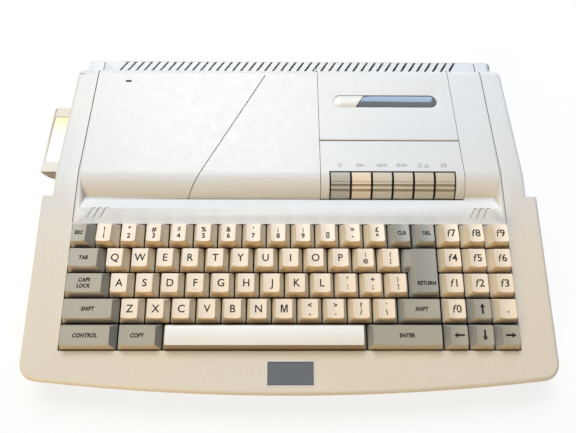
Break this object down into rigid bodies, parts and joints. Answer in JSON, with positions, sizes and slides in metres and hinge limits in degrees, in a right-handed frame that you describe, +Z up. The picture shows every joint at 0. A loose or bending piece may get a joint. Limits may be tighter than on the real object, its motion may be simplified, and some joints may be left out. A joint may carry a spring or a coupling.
{
  "type": "vintage home computer",
  "caption": "Vintage home computer with a full keyboard, a built-in cassette deck with piano keys and a lid, a side cartridge slot and rear sockets.",
  "frame": {"origin": "on the desk, under the centre of the case (the cartridge that stands out of the left side is left out of that centre)", "axes": "+X to the right along the keyboard, +Y from the space bar to the rear sockets, +Z up"},
  "size_m": [0.4095, 0.2937, 0.054],
  "materials": {
    "case_shell": "fine moulded texture, aged cream ABS",
    "key_cream": "fine matte keycap, yellowed cream",
    "key_grey": "fine matte keycap, warm grey",
    "piano_cream": "satin moulded beige",
    "window": "smoked, polished",
    "badge": "dark satin plate",
    "lens": "unlit red lens",
    "rubber": "matte",
    "steel": "zinc plated",
    "brass": "turned",
    "dark_plastic": "moulded black",
    "white_plastic": "moulded white",
    "board": "glass-fibre circuit board, green lacquer",
    "membrane": "translucent silicone",
    "cartridge": "moulded grey-cream"
  },
  "bodies": {
    "root": {"lower_case": "case_shell", "upper_case": "case_shell", "deck_fascia": "case_shell", "badge_plate": "badge", "power_lens": "lens", "rubber_feet": "rubber", "case_screws": "steel", "key_shaft": "steel", "deck_chassis": "steel", "deck_motor": "steel", "drive_belt": "rubber", "main_board": "board", "cartridge_socket": "dark_plastic", "keyboard_frame": "dark_plastic", "keyboard_membrane": "membrane", "video_socket": "dark_plastic", "power_socket": "dark_plastic", "expansion_connector": "dark_plastic", "printer_connector": "steel", "joystick_ports": "steel", "analogue_port": "steel", "aux_socket": "dark_plastic"},
    "lid": {"cassette_lid": "case_shell", "lid_window": "window"},
    "head_slide": {"head_slide": "steel"},
    "pinch_roller": {"pinch_roller": "rubber"},
    "capstan_flywheel": {"capstan_flywheel": "steel"},
    "supply_spindle": {"supply_spindle": "white_plastic"},
    "takeup_spindle": {"takeup_spindle": "white_plastic"},
    "motor_pulley": {"motor_pulley": "brass"},
    "power_switch": {"power_switch": "dark_plastic"},
    "cartridge": {"cartridge_case": "cartridge", "cartridge_board": "board"},
    "key_record": {"key_record": "key_grey"},
    "key_play": {"key_play": "piano_cream"},
    "key_rewind": {"key_rewind": "piano_cream"},
    "key_forward": {"key_forward": "piano_cream"},
    "key_stop": {"key_stop": "piano_cream"},
    "key_pause": {"key_pause": "piano_cream"},
    "key_escape": {"key_escape": "key_grey"},
    "key_tab": {"key_tab": "key_grey"},
    "key_caps_lock": {"key_caps_lock": "key_grey"},
    "key_shift_left": {"key_shift_left": "key_grey"},
    "key_shift_right": {"key_shift_right": "key_grey"},
    "key_control": {"key_control": "key_grey"},
    "key_copy": {"key_copy": "key_grey"},
    "space_bar": {"space_bar": "key_cream"},
    "key_enter": {"key_enter": "key_grey"},
    "key_return": {"key_return": "key_grey"},
    "key_delete": {"key_delete": "key_grey"},
    "key_clear": {"key_clear": "key_grey"},
    "cursor_up": {"cursor_up": "key_grey"},
    "cursor_down": {"cursor_down": "key_grey"},
    "cursor_left": {"cursor_left": "key_grey"},
    "cursor_right": {"cursor_right": "key_grey"},
    "number_keys": {"number_keys": "key_cream"},
    "top_letter_keys": {"top_letter_keys": "key_cream"},
    "home_letter_keys": {"home_letter_keys": "key_cream"},
    "bottom_letter_keys": {"bottom_letter_keys": "key_cream"},
    "function_keys": {"function_keys": "key_cream"}
  },
  "joints": [
    {"name": "lid_open", "type": "hinge", "parent": "root", "child": "lid", "pos_m": [0.0834, 0.0552, 0.0512], "axis": [1, 0, 0], "range_deg": [0, 60]},
    {"name": "record_press", "type": "hinge", "parent": "root", "child": "key_record", "pos_m": [0.0834, 0.042, 0.0455], "axis": [1, 0, 0], "range_deg": [0, 9], "stiffness_Nm_per_rad": 1.2, "springref_deg": -2.29},
    {"name": "play_press", "type": "hinge", "parent": "root", "child": "key_play", "pos_m": [0.0834, 0.042, 0.0455], "axis": [1, 0, 0], "range_deg": [0, 9], "stiffness_Nm_per_rad": 1.2, "springref_deg": -2.29},
    {"name": "rewind_press", "type": "hinge", "parent": "root", "child": "key_rewind", "pos_m": [0.0834, 0.042, 0.0455], "axis": [1, 0, 0], "range_deg": [0, 9], "stiffness_Nm_per_rad": 1.2, "springref_deg": -2.29},
    {"name": "forward_press", "type": "hinge", "parent": "root", "child": "key_forward", "pos_m": [0.0834, 0.042, 0.0455], "axis": [1, 0, 0], "range_deg": [0, 9], "stiffness_Nm_per_rad": 1.2, "springref_deg": -2.29},
    {"name": "stop_press", "type": "hinge", "parent": "root", "child": "key_stop", "pos_m": [0.0834, 0.042, 0.0455], "axis": [1, 0, 0], "range_deg": [0, 9], "stiffness_Nm_per_rad": 1.2, "springref_deg": -2.29},
    {"name": "pause_press", "type": "hinge", "parent": "root", "child": "key_pause", "pos_m": [0.0834, 0.042, 0.0455], "axis": [1, 0, 0], "range_deg": [0, 9], "stiffness_Nm_per_rad": 1.2, "springref_deg": -2.29},
    {"name": "head_advance", "type": "slide", "parent": "root", "child": "head_slide", "axis": [0, 1, 0], "range_m": [0, 0.0022]},
    {"name": "roller_spin", "type": "hinge", "parent": "head_slide", "child": "pinch_roller", "pos_m": [0.1124, 0.0558, 0.04], "axis": [0, 0, 1], "continuous": true},
    {"name": "flywheel_spin", "type": "hinge", "parent": "root", "child": "capstan_flywheel", "pos_m": [0.1124, 0.066, 0.028], "axis": [0, 0, 1], "continuous": true},
    {"name": "pulley_spin", "type": "hinge", "parent": "root", "child": "motor_pulley", "pos_m": [0.0564, 0.108, 0.028], "axis": [0, 0, 1], "continuous": true},
    {"name": "supply_spin", "type": "hinge", "parent": "root", "child": "supply_spindle", "pos_m": [0.06215, 0.0937, 0.038], "axis": [0, 0, 1], "continuous": true},
    {"name": "takeup_spin", "type": "hinge", "parent": "root", "child": "takeup_spindle", "pos_m": [0.10465, 0.0937, 0.038], "axis": [0, 0, 1], "continuous": true},
    {"name": "switch_press", "type": "slide", "parent": "root", "child": "power_switch", "axis": [0, -1, 0], "range_m": [0, 0.0025], "stiffness_N_per_m": 400, "springref_m": -0.002},
    {"name": "cartridge_out", "type": "slide", "parent": "root", "child": "cartridge", "axis": [-1, 0, 0], "range_m": [0, 0.058]},
    {"name": "escape_travel", "type": "slide", "parent": "root", "child": "key_escape", "axis": [0, 0.1564, -0.9877], "range_m": [0, 0.0035], "stiffness_N_per_m": 170, "springref_m": -0.002},
    {"name": "tab_travel", "type": "slide", "parent": "root", "child": "key_tab", "axis": [0, 0.1564, -0.9877], "range_m": [0, 0.0035], "stiffness_N_per_m": 170, "springref_m": -0.002},
    {"name": "caps_lock_travel", "type": "slide", "parent": "root", "child": "key_caps_lock", "axis": [0, 0.1564, -0.9877], "range_m": [0, 0.0035], "stiffness_N_per_m": 170, "springref_m": -0.002},
    {"name": "shift_left_travel", "type": "slide", "parent": "root", "child": "key_shift_left", "axis": [0, 0.1564, -0.9877], "range_m": [0, 0.0035], "stiffness_N_per_m": 170, "springref_m": -0.002},
    {"name": "shift_right_travel", "type": "slide", "parent": "root", "child": "key_shift_right", "axis": [0, 0.1564, -0.9877], "range_m": [0, 0.0035], "stiffness_N_per_m": 170, "springref_m": -0.002},
    {"name": "control_travel", "type": "slide", "parent": "root", "child": "key_control", "axis": [0, 0.1564, -0.9877], "range_m": [0, 0.0035], "stiffness_N_per_m": 170, "springref_m": -0.002},
    {"name": "copy_travel", "type": "slide", "parent": "root", "child": "key_copy", "axis": [0, 0.1564, -0.9877], "range_m": [0, 0.0035], "stiffness_N_per_m": 170, "springref_m": -0.002},
    {"name": "space_bar_travel", "type": "slide", "parent": "root", "child": "space_bar", "axis": [0, 0.1564, -0.9877], "range_m": [0, 0.0035], "stiffness_N_per_m": 170, "springref_m": -0.002},
    {"name": "enter_travel", "type": "slide", "parent": "root", "child": "key_enter", "axis": [0, 0.1564, -0.9877], "range_m": [0, 0.0035], "stiffness_N_per_m": 170, "springref_m": -0.002},
    {"name": "return_travel", "type": "slide", "parent": "root", "child": "key_return", "axis": [0, 0.1564, -0.9877], "range_m": [0, 0.0035], "stiffness_N_per_m": 170, "springref_m": -0.002},
    {"name": "delete_travel", "type": "slide", "parent": "root", "child": "key_delete", "axis": [0, 0.1564, -0.9877], "range_m": [0, 0.0035], "stiffness_N_per_m": 170, "springref_m": -0.002},
    {"name": "clear_travel", "type": "slide", "parent": "root", "child": "key_clear", "axis": [0, 0.1564, -0.9877], "range_m": [0, 0.0035], "stiffness_N_per_m": 170, "springref_m": -0.002},
    {"name": "cursor_up_travel", "type": "slide", "parent": "root", "child": "cursor_up", "axis": [0, 0.1564, -0.9877], "range_m": [0, 0.0035], "stiffness_N_per_m": 170, "springref_m": -0.002},
    {"name": "cursor_down_travel", "type": "slide", "parent": "root", "child": "cursor_down", "axis": [0, 0.1564, -0.9877], "range_m": [0, 0.0035], "stiffness_N_per_m": 170, "springref_m": -0.002},
    {"name": "cursor_left_travel", "type": "slide", "parent": "root", "child": "cursor_left", "axis": [0, 0.1564, -0.9877], "range_m": [0, 0.0035], "stiffness_N_per_m": 170, "springref_m": -0.002},
    {"name": "cursor_right_travel", "type": "slide", "parent": "root", "child": "cursor_right", "axis": [0, 0.1564, -0.9877], "range_m": [0, 0.0035], "stiffness_N_per_m": 170, "springref_m": -0.002},
    {"name": "number_keys_travel", "type": "slide", "parent": "root", "child": "number_keys", "axis": [0, 0.1564, -0.9877], "range_m": [0, 0.0035], "stiffness_N_per_m": 500, "springref_m": -0.002},
    {"name": "top_letter_keys_travel", "type": "slide", "parent": "root", "child": "top_letter_keys", "axis": [0, 0.1564, -0.9877], "range_m": [0, 0.0035], "stiffness_N_per_m": 500, "springref_m": -0.002},
    {"name": "home_letter_keys_travel", "type": "slide", "parent": "root", "child": "home_letter_keys", "axis": [0, 0.1564, -0.9877], "range_m": [0, 0.0035], "stiffness_N_per_m": 500, "springref_m": -0.002},
    {"name": "bottom_letter_keys_travel", "type": "slide", "parent": "root", "child": "bottom_letter_keys", "axis": [0, 0.1564, -0.9877], "range_m": [0, 0.0035], "stiffness_N_per_m": 500, "springref_m": -0.002},
    {"name": "function_keys_travel", "type": "slide", "parent": "root", "child": "function_keys", "axis": [0, 0.1564, -0.9877], "range_m": [0, 0.0035], "stiffness_N_per_m": 500, "springref_m": -0.002}
  ],
  "couplings": [
    {"joint": "play_press", "follows": "head_advance", "rad_per_m": 65},
    {"joint": "pulley_spin", "follows": "flywheel_spin", "ratio": 6.3333}
  ]
}
